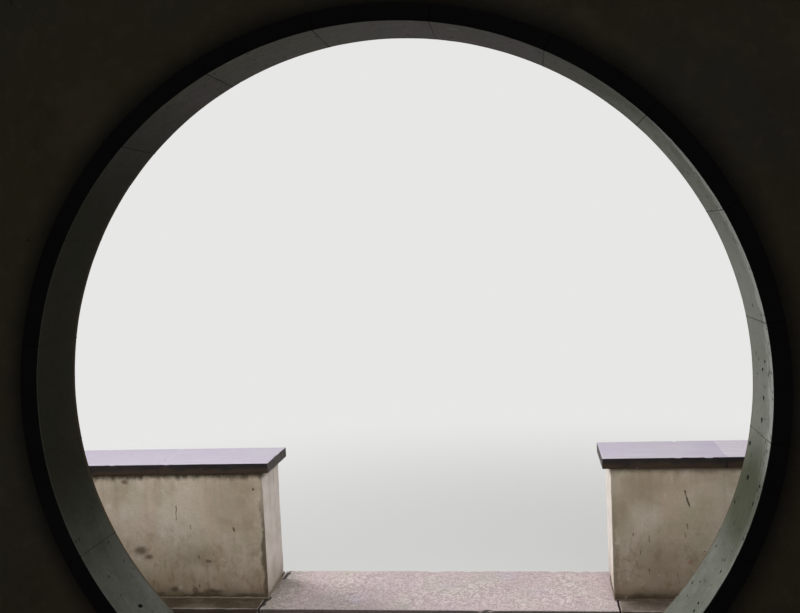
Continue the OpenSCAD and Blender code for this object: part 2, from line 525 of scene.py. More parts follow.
class Finish(Graph):
    """A material in the making: its nodes, the place on the piece and its parts so far."""

    def __init__(self, name, colour):
        self.material = bpy.data.materials.new(name)
        super().__init__(empty_tree(self.material))
        self.here = self.place("ShaderNodeTexCoord", output="Object")
        self.colour = colour
        self.roughness = 0.8
        self.height = 0.0

    def mask(self, name, **inputs):
        """The mask of a shared effect, with its inputs by name."""
        inputs.setdefault("Vector", self.here)
        return self.place("ShaderNodeGroup", inputs, "Mask", node_tree=effect_group(name))

    def most(self, masks):
        """The strongest of several masks."""
        strongest = masks[0]
        for mask in masks[1:]:
            strongest = self.math("MAXIMUM", strongest, mask)
        return strongest

    def strokes(self, lines, flat=ON_FRONT):
        """The mask of several strokes: where each starts and ends, and its width."""
        masks = []
        for start, end, width in lines:
            masks.append(self.mask("Stroke", Start=start, End=end, Flat=flat, Width=width))
        return self.most(masks)

    def lay(self, mask, colour, strength=1.0):
        """Lays a colour over what is there, where the mask says."""
        self.colour = self.blend(self.times(mask, strength), self.colour, colour)

    def patches(self, colour, scale, share, softness=0.12, strength=1.0, vector=None):
        """Lays cloudy patches of a colour on about that share of the surface."""
        here = vector or self.here
        mask = self.mask("Mottle", Vector=here, Scale=scale, Share=share, Softness=softness)
        self.lay(mask, colour, strength)
        return mask

    def cloudy(self, first, second, scale):
        """A cloudy mix of two colours."""
        return self.blend(self.mask("Mottle", Scale=scale, Softness=0.2), first, second)

    def ends(self):
        """The mask of what faces along the gate, to the left or the right."""
        return self.soft_step(self.math("ABSOLUTE", self.normal(0)), 0.6, 0.9)

    def worn_edges(self, reach):
        """The mask of rubbed edges."""
        return self.mask("Edge wear", Edge=self.attribute("edge"), Reach=reach)

    def grain(self, scale, colour, strength, height, roughness=None, detail=3.0):
        """Fine grain that tints and raises the surface, and varies its roughness in a range."""
        fine = self.noise(self.here, scale, detail, 0.6)
        self.lay(self.soft_step(fine, 0.42, 0.72), colour, strength)
        self.raise_by(fine, height)
        if roughness:
            self.roughness = self.soft_step(fine, 0.3, 0.7, *roughness)

    def raise_by(self, value, amount):
        """Adds to the height that the surface's bumps come from, in metres."""
        self.height = self.math("ADD", self.height, self.times(value, amount))

    def done(self, gloss=0.2):
        """Joins the parts in one shader and returns the material."""
        height = {"Height": self.height, "Distance": 1.0, "Strength": 1.0}
        inputs = {
            "Base Color": self.colour,
            "Roughness": self.roughness,
            "Specular IOR Level": gloss,
            "Normal": self.place("ShaderNodeBump", height),
        }
        surface = self.place("ShaderNodeBsdfPrincipled", inputs)
        self.place("ShaderNodeOutputMaterial", {"Surface": surface})
        return self.material


def material_of(name, make):
    """The material of that name, which is made when it is first asked for."""
    return bpy.data.materials.get(name) or make(name)


# Marks of age that have their own places, in metres

# Cracks, the step slab's paler left end and its seams: both ends of each, and its width
WALL_CRACKS = (
    ((-1.02, SEAT_NEAR, 0.525), (-1.023, SEAT_NEAR, 0.465), 0.002),
    ((0.93, SEAT_NEAR, 0.565), (0.945, SEAT_NEAR, 0.5), 0.0034),
)
SLAB_MARGIN = (((-0.665, 0.8, KERB_TOP), (-0.665, 1.28, KERB_TOP), 0.13),)
SLAB_SEAMS = (
    ((-0.676, 0.82, KERB_TOP), (-0.664, 0.95, KERB_TOP), 0.011),
    ((-0.662, 1.15, KERB_TOP), (-0.652, 1.25, KERB_TOP), 0.011),
)

# Blots on the seat walls' near faces: x, z, and half the width and height
WALL_STAINS = (
    (-1.175, 0.342, 0.042, 0.026),
    (-1.145, 0.318, 0.026, 0.017),
    (-1.225, 0.62, 0.02, 0.012),
    (-0.9, 0.3, 0.024, 0.012),
    (-1.045, 0.185, 0.03, 0.018),
    (-0.96, 0.18, 0.024, 0.022),
    (-0.885, 0.178, 0.055, 0.018),
)
WALL_CLOUDS = (
    (-0.78, 0.56, 0.23, 0.19),
    (-0.72, 0.5, 0.09, 0.19),
    (-0.93, 0.32, 0.19, 0.07),
    (0.82, 0.3, 0.17, 0.11),
    (0.7, 0.5, 0.06, 0.2),
    (0.76, 0.57, 0.17, 0.13),
)
WALL_HOLLOWS = (
    (-0.79, 0.425, 0.007, 0.012),
    (-0.705, 0.585, 0.008, 0.006),
    (0.995, 0.335, 0.003, 0.006),
)
PINK_SPOT = ((0.944, 0.295, 0.013, 0.013),)

# Scratches on them: x, z and the length
WALL_SCRATCHES = (
    (0.795, 0.385, 0.024),
    (0.765, 0.335, 0.02),
    (0.85, 0.36, 0.016),
    (0.925, 0.4, 0.018),
    (0.934, 0.43, 0.022),
    (0.895, 0.235, 0.036),
)

# A stain low on the right of the reveal: its middle and its reach
OLIVE_STAIN = {
    "Centre": (OPENING_RADIUS * 0.94, 0.0, OPENING_Z - OPENING_RADIUS * 0.31),
    "Reach": (0.22, 0.27, 0.22),
}

# Nail holes in the reveal: degrees up from its right side, depth behind its middle, and size
LINING_HOLES = (
    (3.7, -0.038, 0.005),
    (2.2, -0.006, 0.005),
    (-2.2, -0.012, 0.007),
    (-5.7, -0.003, 0.0085),
    (-5.2, -0.039, 0.005),
    (-10.5, 0.09, 0.007),
    (-15.3, 0.035, 0.0085),
    (-14.8, -0.091, 0.005),
    (-17.8, -0.078, 0.005),
    (-20.3, 0.086, 0.005),
    (-29.6, -0.064, 0.0035),
    (-33.8, 0.035, 0.004),
    (-35.2, 0.082, 0.004),
    (-36.9, -0.057, 0.005),
    (-35.7, -0.05, 0.0045),
    (-141.5, 0.0, 0.0075),
)


# Materials


def colour_of(name):
    """A main colour from the panel."""
    return (*getattr(bpy.context.scene.moon_gate_colours, name), 1.0)


def wall_plaster(name):
    """Aged plaster of the gate wall, dark with painted shade on its near face and paler on its far
    one.
    """
    f = Finish(name, colour_of("wall_plaster"))
    f.patches((53, 48, 31), 0.9, 0.5, 0.2, 0.85)
    f.patches((45, 47, 44), 1.4, 0.36, 0.16, 0.7)
    f.patches((68, 60, 46), 2.6, 0.32, 0.12, 0.6)
    f.patches((42, 39, 31), 6.5, 0.3, 0.1, 0.6)
    f.patches((64, 58, 47), 19.0, 0.36, 0.1, 0.4)
    # The dark ground and patches above are painted shade of the near face; turning towards the far
    # face, the plaster grows paler
    paler = f.soft_step(f.normal(1), -0.7, 0.8)
    f.lay(paler, f.cloudy((136, 126, 110), (108, 101, 88), 1.6), 0.85)
    weathered = f.mask("Mottle", Vector=f.bent(f.here, 2.0, 0.4), Scale=4.5, Share=0.4)
    f.lay(f.times(paler, weathered), (98, 93, 80), 0.5)
    bleached = f.mask("Mottle", Scale=11.0, Share=0.3)
    f.lay(f.times(paler, bleached), (156, 147, 131), 0.45)
    f.lay(f.mask("Streaks", Top=WALL_TOP, Reach=0.8, Scale=11.0), (38, 34, 29), 0.5)
    f.lay(f.mask("Splash", Level=FLOOR, Reach=0.3), (40, 35, 28), 0.6)
    from_middle = f.vector("SUBTRACT", f.here, (0.0, 0.0, OPENING_Z))
    flat = f.vector("MULTIPLY", from_middle, (1.0, 0.0, 1.0))
    distance = f.math("ADD", f.length(flat), f.wander(f.here, 9.0, 0.02))
    # Painted shade on the plaster beside the band, darkest at it and fading outwards
    rim = f.fade(distance, LINING_OUT - 0.01, LINING_OUT + 0.075)
    f.lay(rim, (17, 16, 14), 0.9)
    cracks = f.mask("Cracks", Scale=1.3, Share=0.34, Width=0.0032)
    f.lay(cracks, (30, 27, 23), 0.6)
    pits = f.mask("Pits", Scale=21.0, Share=0.09, Size=0.12)
    f.lay(pits, (34, 30, 25), 0.6)
    f.grain(230.0, (50, 46, 39), 0.35, 0.0007, (0.84, 0.96))
    trowelled = f.noise(f.stretched(f.here, (1.0, 1.0, 2.5)), 9.0, 4.0, 0.55)
    f.raise_by(trowelled, 0.004)
    f.raise_by(cracks, -0.0008)
    f.raise_by(pits, -0.0016)
    return f.done(gloss=0.1)


def wall_marks(f, marks, softness=0.8):
    """The mask of blots on the seat walls' near faces."""
    blots = []
    for x, z, wide, tall in marks:
        place, reach = (x, SEAT_NEAR, z), (wide, 0.09, tall)
        blots.append(f.mask("Spot", Centre=place, Reach=reach, Softness=softness))
    return f.most(blots)


def scratch(x, z, tall):
    """One slanting scratch on a seat wall's near face: its start, its end and its width."""
    return (x, SEAT_NEAR, z + tall / 2), (x + tall / 8, SEAT_NEAR, z - tall / 2), 0.0022


def seat_ground(f, lower):
    """Off-white plaster in cloudy tones, browner low down, with painted light making the walls'
    ends paler.
    """
    bands = f.stretched(f.here, (1.0, 1.0, 0.22))
    f.patches((191, 175, 153), 2.4, 0.5, 0.2, 0.9)
    f.patches((202, 176, 159), 6.5, 0.34, 0.12, 0.7, bands)
    f.patches((176, 169, 142), 5.0, 0.42, 0.12, 0.6, f.bent(f.here, 3.0, 0.5))
    f.patches((170, 152, 129), 9.0, 0.34, 0.14, 0.6)
    f.patches((224, 216, 206), 15.0, 0.26, 0.1, 0.4)
    f.lay(lower, (162, 142, 120), 0.55)
    scuffs = f.mask("Mottle", Vector=f.stretched(f.here, (1.0, 1.0, 0.6)), Scale=34.0, Share=0.34)
    f.lay(f.times(scuffs, lower), (136, 114, 90), 0.85)
    f.lay(wall_marks(f, WALL_CLOUDS, 0.95), (134, 117, 94), 0.44)
    # Painted light: the walls' ends are paler
    f.lay(f.ends(), f.cloudy((238, 230, 224), (218, 208, 200), 12.0), 0.9)


def seat_dirt(f):
    """Drips and painted shade under the caps, dirt up from the kerb, and painted shade at the foot
    and down the corners by the gap.
    """
    f.lay(f.mask("Streaks", Top=SEAT_TOP, Reach=0.3, Scale=26.0), (150, 134, 110), 0.38)
    f.lay(f.mask("Splash", Level=KERB_TOP, Reach=0.15), (140, 120, 97), 0.45)
    right_side = f.soft_step(f.axis(f.here, 0), -0.2, 0.2)
    # Painted shade along the foot, stronger on the right wall
    foot = f.mask("Splash", Level=KERB_TOP, Reach=0.03, Scale=24.0)
    f.lay(foot, (70, 57, 44), f.from_share(right_side, 0.1, 0.8))
    # Drips and painted shade under the caps, stronger on the left wall
    under_cap = f.mask("Splash", Level=SEAT_TOP, Reach=0.036, Scale=30.0, Up=-1.0)
    f.lay(under_cap, (58, 48, 34), f.from_share(right_side, 0.95, 0.4))
    # Painted shade in a strip beside the near face's edges, in its lower part, stronger on the left
    # wall
    low_down = f.soft_step(f.axis(f.here, 2), KERB_TOP + 0.26, KERB_TOP + 0.42, 1.0, 0.4)
    near_face = f.soft_step(f.normal(1), -0.5, -0.9)
    from_edge = f.math("ADD", f.attribute("edge"), f.wander(f.here, 20.0, 0.04))
    strip = f.fade(from_edge, 0.012, 0.026)
    corner = f.times(strip, low_down, near_face)
    f.lay(corner, (84, 76, 57), f.from_share(right_side, 0.85, 0.35))
    f.lay(f.soft_step(f.attribute("decay"), 0.3, 0.8), (96, 82, 66), 0.35)


def seat_plaster(name):
    """Off-white plaster of the seat walls, stained, cracked, and dark at its foot with dirt and
    painted shade.
    """
    f = Finish(name, colour_of("seat_plaster"))
    lower = f.fade(f.axis(f.here, 2), KERB_TOP, SEAT_TOP - 0.1)
    seat_ground(f, lower)
    seat_dirt(f)
    f.lay(wall_marks(f, WALL_STAINS), (96, 81, 63), 0.85)
    f.lay(wall_marks(f, PINK_SPOT), (160, 98, 88), 0.6)
    hollows = wall_marks(f, WALL_HOLLOWS)
    f.lay(hollows, (74, 61, 48), 0.85)
    hairlines = f.mask("Cracks", Scale=3.1, Share=0.26, Width=0.005)
    cracks = f.most([f.strokes(WALL_CRACKS), hairlines])
    f.lay(cracks, (66, 55, 44), 0.85)
    crazing = f.times(f.mask("Cracks", Scale=8.0, Share=0.5, Width=0.02), lower)
    f.lay(crazing, (112, 93, 72), 0.4)
    f.lay(f.strokes([scratch(*place) for place in WALL_SCRATCHES]), (96, 80, 64), 0.75)
    upright = f.stretched(f.here, (1.0, 1.0, 0.4))
    pits = f.mask("Pits", Vector=upright, Scale=34.0, Share=0.18, Size=0.16)
    f.lay(pits, (104, 88, 69), 0.7)
    flakes = f.patches((216, 204, 188), 24.0, 0.2, 0.05, 0.4)
    f.grain(250.0, (158, 145, 126), 0.35, 0.0007, (0.82, 0.96))
    f.raise_by(f.noise(f.here, 13.0, 4.0, 0.55), 0.005)
    f.raise_by(flakes, 0.0006)
    f.raise_by(hollows, -0.003)
    f.raise_by(cracks, -0.0022)
    f.raise_by(pits, -0.0018)
    return f.done(gloss=0.1)


def round_place(f):
    """Places along the lining: metres round from its top, the depth, and the radius."""
    across, depth, height = (f.axis(f.here, axis) for axis in range(3))
    up = f.math("SUBTRACT", height, OPENING_Z)
    around = f.math("ARCTAN2", across, up)
    square = f.math("ADD", f.times(across, across), f.times(up, up))
    inputs = {0: around, 1: depth, 2: f.math("SQRT", square)}
    return f.place("ShaderNodeCombineXYZ", inputs)


def reveal_ground(f, around, rubbing):
    """Olive grey brick in cloudy tones: purplish and darker with painted shade overhead, dark with
    painted shade on the left, and paler with painted light on the right.
    """
    f.patches((96, 98, 86), 2.4, 0.5, 0.2, 0.8)
    f.patches((78, 83, 66), 3.6, 0.36, 0.1, 0.6)
    f.patches((136, 136, 134), 5.0, 0.34, 0.12, 0.65)
    f.patches((80, 83, 70), 10.0, 0.28, 0.1, 0.5)
    f.patches((108, 100, 90), 14.0, 0.2, 0.08, 0.3)
    # Painted shade on the reveal's top, which faces down
    overhead = f.between(around, (-1.3, -0.4), (0.9, 0.3))
    f.lay(overhead, f.cloudy((96, 80, 93), (84, 82, 66), 3.0), 0.75)
    f.lay(f.attribute("tone"), (98, 102, 92), 0.35)
    f.lay(f.soft_step(rubbing, 0.5, 0.75), (142, 145, 138), 0.18)
    f.grain(120.0, (136, 138, 132), 0.2, 0.0002, detail=2.0)
    f.patches((80, 84, 70), 27.0, 0.34, 0.07, 0.35)
    f.patches((140, 141, 135), 31.0, 0.28, 0.07, 0.3)
    # Painted shade on the left of the reveal, which faces away from the light
    painted_shade_left = f.between(around, (-0.25, -1.0), (-2.3, -1.75))
    f.lay(painted_shade_left, f.cloudy((39, 34, 21), (32, 32, 16), 4.0), 0.92)
    # Painted light on the right of the reveal, which faces the light
    painted_light_right = f.between(around, (1.0, 1.3), (1.95, 1.6))
    f.lay(painted_light_right, (152, 153, 147), 0.3)


def reveal_strip(f, along, worn_side, from_near):
    """A paler strip along the reveal's near edge, widest on its right side. Returns its mask."""
    ragged = f.soft_step(f.noise(f.stretched(along, (1.0, 2.5, 1.0)), 16.0, 5.0, 0.7), 0.3, 0.7)
    reach = f.math("ADD", 0.012, f.times(worn_side, ragged, 0.085))
    strip = f.fade(f.math("DIVIDE", from_near, reach), 0.55, 1.0)
    f.lay(f.times(strip, f.from_share(worn_side, 0.15, 1.0)), (168, 169, 165), 0.6)
    rubbed_edge = f.fade(from_near, 0.0, 0.012)
    f.lay(f.times(rubbed_edge, worn_side), (196, 197, 194), 0.75)
    return strip


def lining_hole(f, angle, depth, size):
    """The mask of one hole in the reveal."""
    turn = math.radians(angle)
    across, up = OPENING_RADIUS * math.cos(turn), OPENING_RADIUS * math.sin(turn)
    reach = (size, 1.5 * size, size)
    return f.mask("Spot", Centre=(across, depth, OPENING_Z + up), Reach=reach, Softness=0.4)


def lining_brick(name):
    """Rubbed grey brick: olive grey in the reveal, painted near black with shade on the wall's
    faces.
    """
    f = Finish(name, colour_of("lining"))
    along = round_place(f)
    around, depth = f.axis(along, 0), f.axis(along, 1)
    rubbing = f.noise(f.stretched(along, (7.0, 90.0, 90.0)), 1.0, 4.0, 0.6)
    reveal_ground(f, around, rubbing)
    worn_side = f.between(around, (0.6, 1.0), (2.2, 1.75))
    from_near = f.math("ADD", depth, LINING_FACE)
    strip = reveal_strip(f, along, worn_side, from_near)
    f.lay(f.mask("Spot", **OLIVE_STAIN, Softness=0.7), (60, 64, 45), 0.8)
    far_arris = f.soft_step(depth, LINING_FACE - 0.022, LINING_FACE - 0.006)
    f.lay(far_arris, (98, 80, 60), 0.55)
    pits = f.mask("Pits", Scale=23.0, Share=0.18, Size=0.1)
    beside_edge = f.times(worn_side, f.soft_step(from_near, 0.11, 0.0))
    speckled = f.from_share(beside_edge, 0.12, 0.6)
    specks = f.mask("Pits", Scale=50.0, Share=speckled, Size=0.32)
    f.lay(f.most([pits, specks]), (50, 50, 42), 0.85)
    f.grain(400.0, (84, 86, 78), 0.3, 0.0003, (0.5, 0.68), 2.0)
    # Painted shade: on the wall's faces the grey brick is near black
    face = f.soft_step(f.math("ABSOLUTE", depth), LINING_FACE - 0.0065, LINING_FACE - 0.004)
    f.lay(face, f.cloudy(colour_of("band"), (18, 17, 17), 7.0))
    holes = f.most([lining_hole(f, *place) for place in LINING_HOLES])
    f.lay(holes, (20, 19, 17))
    f.raise_by(f.noise(f.here, 26.0, 4.0), 0.0014)
    f.raise_by(rubbing, 0.0003)
    f.raise_by(strip, -0.0004)
    f.raise_by(pits, -0.0015)
    f.raise_by(holes, -0.008)
    return f.done(gloss=0.02)


def lining_mortar(name):
    """Thin joints of the lining: darker with painted shade on the left, palest with painted light
    low on the right, and painted near black with shade on the wall's faces.
    """
    f = Finish(name, (92, 91, 82))
    across, depth, up = (f.axis(f.here, axis) for axis in range(3))
    # Painted shade on the joints on the reveal's left
    painted_shade_left = f.times(f.soft_step(across, 0.2, -0.5), f.soft_step(up, 0.45, 0.9))
    f.lay(painted_shade_left, (54, 51, 40), 0.9)
    # Painted light on the joints low on the reveal's right
    low_right = f.times(f.soft_step(across, 0.55, 0.8), f.soft_step(up, 0.85, 0.7))
    f.lay(low_right, (116, 118, 109), 0.9)
    f.grain(300.0, (96, 94, 86), 0.3, 0.0005, (0.85, 0.95))
    # Painted shade: on the wall's faces the joints are near black like the band
    face = f.soft_step(f.math("ABSOLUTE", depth), LINING_FACE - 0.012, LINING_FACE - 0.006)
    f.lay(face, (14, 13, 12))
    return f.done(gloss=0.02)


def slab_brick(name):
    """Slabs near black on their long faces with dirt and painted shade, whose tops are worn to a
    pale lavender grey and whose ends are rough and paler.
    """
    f = Finish(name, colour_of("slab_side"))
    f.patches((44, 38, 36), 8.0, 0.4)
    f.lay(f.soft_step(f.attribute("decay"), 0.3, 0.75), (59, 46, 34), 0.9)
    # The ends are paler grey; the near black left on the long faces is dirt and painted shade
    ends = f.ends()
    f.lay(ends, f.cloudy((102, 96, 93), (64, 59, 57), 34.0), 0.9)
    worn = f.soft_step(f.normal(2), 0.6, 0.92)
    f.lay(worn, f.cloudy(colour_of("slab_top"), (182, 172, 190), 3.0))
    streaks = f.noise(f.stretched(f.here, (1.5, 12.0, 1.0)), 4.0, 4.0, 0.6)
    tone = f.attribute("tone")
    f.lay(f.times(worn, f.soft_step(streaks, 0.5, 0.75)), (214, 206, 212), 0.5)
    f.lay(f.times(worn, tone), (160, 153, 164), 0.45)
    f.lay(f.times(worn, f.soft_step(tone, 0.25, 0.0)), (214, 206, 207), 0.3)
    f.lay(f.times(f.worn_edges(0.005), worn), (206, 200, 206), 0.5)
    pits = f.mask("Pits", Scale=30.0, Share=0.1, Size=0.12)
    f.lay(pits, (84, 74, 82), 0.6)
    f.grain(300.0, (70, 64, 68), 0.15, 0.0005, (0.6, 0.8))
    f.raise_by(f.noise(f.here, 22.0, 4.0), 0.0016)
    f.raise_by(f.times(ends, f.noise(f.here, 85.0, 4.0, 0.7)), 0.003)
    f.raise_by(pits, -0.0013)
    return f.done()


def stone_dirt(f):
    """Soil and painted shade on the darker stones, painted shade on their standing faces, most on
    those facing the near side, and soil up from the ground.
    """
    # Soil and painted shade, full up to the seat walls' near faces and half as strong beyond them
    sheltered = f.soft_step(f.axis(f.here, 1), SEAT_NEAR, SEAT_NEAR + 0.26, 1.0, 0.5)
    soiled = f.times(f.attribute("tone"), sheltered)
    f.lay(soiled, (92, 81, 63), 0.93)
    f.lay(f.times(soiled, f.mask("Mottle", Scale=7.0, Share=0.55)), (62, 53, 39), 0.75)
    # Painted shade on standing faces, strongest on those facing the near side
    standing = f.soft_step(f.math("ABSOLUTE", f.normal(2)), 0.6, 0.3)
    f.lay(standing, (72, 61, 54), f.soft_step(f.normal(1), -0.4, 0.2, 0.78, 0.4))
    f.lay(f.mask("Splash", Level=0.0, Reach=0.06), (88, 74, 62), 0.5)


def granite(name):
    """Pinkish-grey granite, tooled in wavy lines inside smoother margins."""
    f = Finish(name, colour_of("granite"))
    f.patches((186, 166, 168), 2.0, 0.5, 0.2, 0.8)
    f.patches((174, 170, 158), 4.5, 0.38, 0.14, 0.7)
    f.patches((176, 166, 182), 6.0, 0.26, 0.1, 0.7)
    from_edge = f.math("ADD", f.attribute("edge"), f.times(f.noise(f.here, 12.0), 0.01))
    left_end = f.strokes(SLAB_MARGIN, ON_TOP)
    f.lay(left_end, (148, 140, 131), 0.85)
    inside = f.times(f.soft_step(from_edge, 0.028, 0.04), f.math("SUBTRACT", 1.0, left_end))
    cloud = f.noise(f.stretched(f.here, (1.3, 0.9, 1.3)), 17.0, 1.6, 0.5, 0.4)
    tooling = f.math("PINGPONG", f.times(cloud, 5.0), 0.5)
    crisp = f.times(inside, f.soft_step(f.noise(f.here, 5.0), 0.36, 0.62, 0.35, 1.0))
    f.lay(f.times(f.soft_step(tooling, 0.24, 0.02), crisp), (148, 131, 134), 0.5)
    f.lay(f.times(f.soft_step(tooling, 0.3, 0.48), crisp), (216, 206, 205), 0.44)
    specks = f.place("ShaderNodeTexVoronoi", {"Vector": f.here, "Scale": 300.0}, "Color")
    speck = f.axis(specks, 0)
    f.lay(f.soft_step(speck, 0.74, 0.82), (224, 214, 212), 0.45)
    f.lay(f.soft_step(speck, 0.16, 0.1), (104, 92, 92), 0.5)
    stone_dirt(f)
    f.lay(f.strokes(SLAB_SEAMS, ON_TOP), (34, 26, 24), 0.95)
    f.lay(f.worn_edges(0.007), (206, 196, 192), 0.35)
    f.raise_by(f.times(tooling, inside), 0.0022)
    f.raise_by(speck, 0.0003)
    f.roughness = f.soft_step(tooling, 0.0, 0.5, 0.88, 0.7)
    return f.done()


def floor_tile(name):
    """Matt grey floor brick."""
    f = Finish(name, colour_of("floor_tile"))
    f.patches((98, 100, 96), 3.0, 0.5, 0.2)
    f.patches((128, 126, 118), 8.0, 0.3, 0.1, 0.6)
    f.lay(f.attribute("tone"), (88, 90, 90), 0.6)
    f.lay(f.worn_edges(0.008), (146, 144, 138), 0.4)
    pits = f.mask("Pits", Scale=38.0, Share=0.14, Size=0.16)
    f.lay(pits, (62, 62, 58), 0.7)
    f.grain(300.0, (84, 84, 80), 0.3, 0.0005, (0.72, 0.9))
    f.raise_by(f.noise(f.here, 16.0, 4.0), 0.0016)
    f.raise_by(pits, -0.0015)
    return f.done()


def core_brick(name):
    """Rough grey brick of the podium."""
    f = Finish(name, (116, 113, 108))
    f.patches((98, 94, 89), 6.0, 0.5, 0.2)
    f.lay(f.attribute("tone"), (86, 82, 79), 0.7)
    f.lay(f.worn_edges(0.006), (142, 138, 130), 0.4)
    f.grain(180.0, (136, 132, 124), 0.4, 0.0011, (0.84, 0.95), 4.0)
    return f.done()


def mortar(name):
    """Pale lime mortar."""
    f = Finish(name, (162, 156, 144))
    f.patches((134, 128, 116), 26.0, 0.5, 0.2)
    f.grain(280.0, (112, 106, 96), 0.4, 0.0007, (0.88, 0.97))
    return f.done()


# Shapes of the pieces

# The wall's grid: cells up each end and over the top, rows out over a face and through an end
WALL_CELLS = (130, 160)
WALL_ROWS = (44, 14)


def wall_outline():
    """Matching points on the lining's back and on the wall's outline, from foot to foot."""
    corner = math.atan2(WALL_TOP - OPENING_Z, WALL_END)
    up, over = WALL_CELLS
    angles = np.concatenate(
        [
            np.linspace(WALL_FOOT_ANGLE, corner, up + 1),
            np.linspace(corner, math.pi - corner, over + 1)[1:],
            np.linspace(math.pi - corner, math.pi - WALL_FOOT_ANGLE, up + 1)[1:],
        ]
    )
    arc = np.stack([np.cos(angles), np.sin(angles)], axis=1) * LINING_OUT + (0, OPENING_Z)
    rise = np.linspace(FLOOR, WALL_TOP, up + 1)
    run = np.linspace(WALL_END, -WALL_END, over + 1)[1:-1]
    right = np.stack([np.full(up + 1, WALL_END), rise], axis=1)
    top = np.stack([run, np.full(over - 1, WALL_TOP)], axis=1)
    left = np.stack([np.full(up + 1, -WALL_END), rise[::-1]], axis=1)
    inner = np.concatenate([[(THRESHOLD_END, BED)], arc, [(-THRESHOLD_END, BED)]])
    outer = np.concatenate([[(WALL_END, BED)], right, top, left, [(-WALL_END, BED)]])
    return inner, outer


def wall_rows(reach, rounding):
    """Rows of the wall's skin: share of the way out, depth, and the direction out of it."""
    face_rows, end_rows = WALL_ROWS
    flat = 1 - rounding / reach
    core = WALL_FACE - rounding
    near = [(share * flat, -WALL_FACE, 0.0, -1.0) for share in np.linspace(0, 1, face_rows)]
    for angle in np.radians([30, 60, 90]):
        side, face = math.sin(angle), math.cos(angle)
        near.append((flat + side * rounding / reach, -core - rounding * face, side, -face))
    depths = np.linspace(-core, core, end_rows)[1:-1]
    end = [(np.ones_like(reach), depth, 1.0, 0.0) for depth in depths]
    far = [(share, -depth, side, -face) for share, depth, side, face in reversed(near)]
    return near + end + far


def wall_skin(rounding):
    """The plastered wall: both faces and its ends, with the round opening."""
    inner, outer = wall_outline()
    columns = len(inner)
    reach = np.linalg.norm(outer - inner, axis=1)[:, None]
    ends = np.zeros((columns, 2))
    on_end = np.abs(outer[:, 0]) > WALL_END - TOUCHING
    ends[on_end, 0] = np.sign(outer[on_end, 0])
    ends[outer[:, 1] > WALL_TOP - TOUCHING, 1] = 1
    ends /= np.maximum(np.linalg.norm(ends, axis=1, keepdims=True), TINY)
    rows = wall_rows(reach, rounding)
    points, outward, edge = [], [], []
    for share, depth, side, face in rows:
        place = inner + (outer - inner) * share
        points.append(np.stack([place[:, 0], np.full(columns, depth), place[:, 1]], axis=1))
        facing = np.full(columns, face)
        outward.append(np.stack([ends[:, 0] * side, facing, ends[:, 1] * side], axis=1))
        nearest = np.minimum(share, 1 - share) * reach
        edge.append(nearest.reshape(-1) + (WALL_FACE - abs(depth)))
    first = np.arange(columns - 1)
    last = (len(rows) - 1) * columns + first
    closing = np.stack([last, first, first + 1, last + 1], axis=1)
    quads = np.concatenate([grid_quads(len(rows), columns), closing])
    skin = Skin(np.concatenate(points), np.concatenate(outward), np.concatenate(edge), quads)
    skin.rest(top=True)
    return skin


def lining_block_skin(index, sizes):
    """One brick of the lining, bent round the opening."""
    length = BLOCK_ANGLE * OPENING_RADIUS - sizes.lining_joint
    skin = block_skin(
        (-length / 2, -LINING_FACE, 0),
        (length / 2, LINING_FACE, LINING_THICKNESS),
        sizes.brick_edge,
        cell=0.009,
        fine=0.002,
    )
    round_arris(skin, sizes.lining_arris)
    skin.roughen(0.0004, size=0.06, seed=40 + index, layers=2)
    skin.chip(0.002, reach=0.006, size=0.016, share=0.22, seed=70 + index)
    bend_round(skin, FOOT_ANGLE + (index - 0.5) * BLOCK_ANGLE)
    skin.points[:, 2] = np.maximum(skin.points[:, 2], FLOOR)
    skin.tone[:] = own_tone(index, 11)
    return skin


def round_arris(skin, radius):
    """Rounds the two edges of the reveal of a lining block that isn't bent yet."""
    from_face = LINING_FACE - np.abs(skin.points[:, 1])
    from_reveal = skin.points[:, 2]
    away = np.stack([radius - from_face, radius - from_reveal], axis=1)
    distance = np.linalg.norm(away, axis=1)
    outside = (away > 0).all(axis=1) & (distance > radius)
    scale = np.where(outside, radius / np.maximum(distance, TINY), 1.0)
    face = np.where(outside, LINING_FACE - radius + away[:, 0] * scale, LINING_FACE - from_face)
    skin.points[:, 1] = np.sign(skin.points[:, 1]) * face
    skin.points[:, 2] = np.where(outside, radius - away[:, 1] * scale, from_reveal)


def lining_joint_skin(index, sizes):
    """Mortar between two bricks of the lining, a little behind their faces."""
    behind = sizes.joint_depth
    half = sizes.lining_joint / 2 + sizes.brick_edge
    skin = block_skin(
        (-half, -LINING_FACE + behind, behind),
        (half, LINING_FACE - behind, LINING_THICKNESS - behind),
        radius=0.001,
        cell=0.02,
    )
    skin.roughen(0.0004, size=0.01, seed=90 + index)
    bend_round(skin, FOOT_ANGLE + index * BLOCK_ANGLE)
    return skin


def seat_wall_skin(node, seed):
    """A seat wall's plaster, uneven, with its foot and its top edge eaten away."""
    settled = Vector((0, 0, SETTLED))
    skin = block_skin(low(node) - settled, high(node) + settled, radius=0.007, cell=0.009)
    skin.rest(top=True)
    skin.roughen(0.002, size=0.22, seed=seed)
    skin.roughen(0.0008, size=0.03, seed=seed + 5)
    above = skin.points[:, 2] - KERB_TOP
    below = SEAT_TOP - skin.points[:, 2]
    # Lumps that are taller than wide decide how far the foot and the top edge are eaten
    lumps = 0.5 + 0.5 * layered_noise(skin.points * (1, 1, 0.5), 0.07, seed + 9)
    foot = soft_step(-above, -0.05 * (0.3 + lumps), -0.005)
    head = soft_step(-below, -0.02 * (0.2 + 1.4 * lumps), -0.003)
    skin.decay = np.clip(foot + head, 0, 1)
    skin.push(-0.007 * skin.decay)
    skin.chip(0.006, reach=0.008, size=0.05, share=0.32, seed=seed + 13)
    skin.pit(0.003, size=0.028, share=0.07, seed=seed + 17)
    return skin


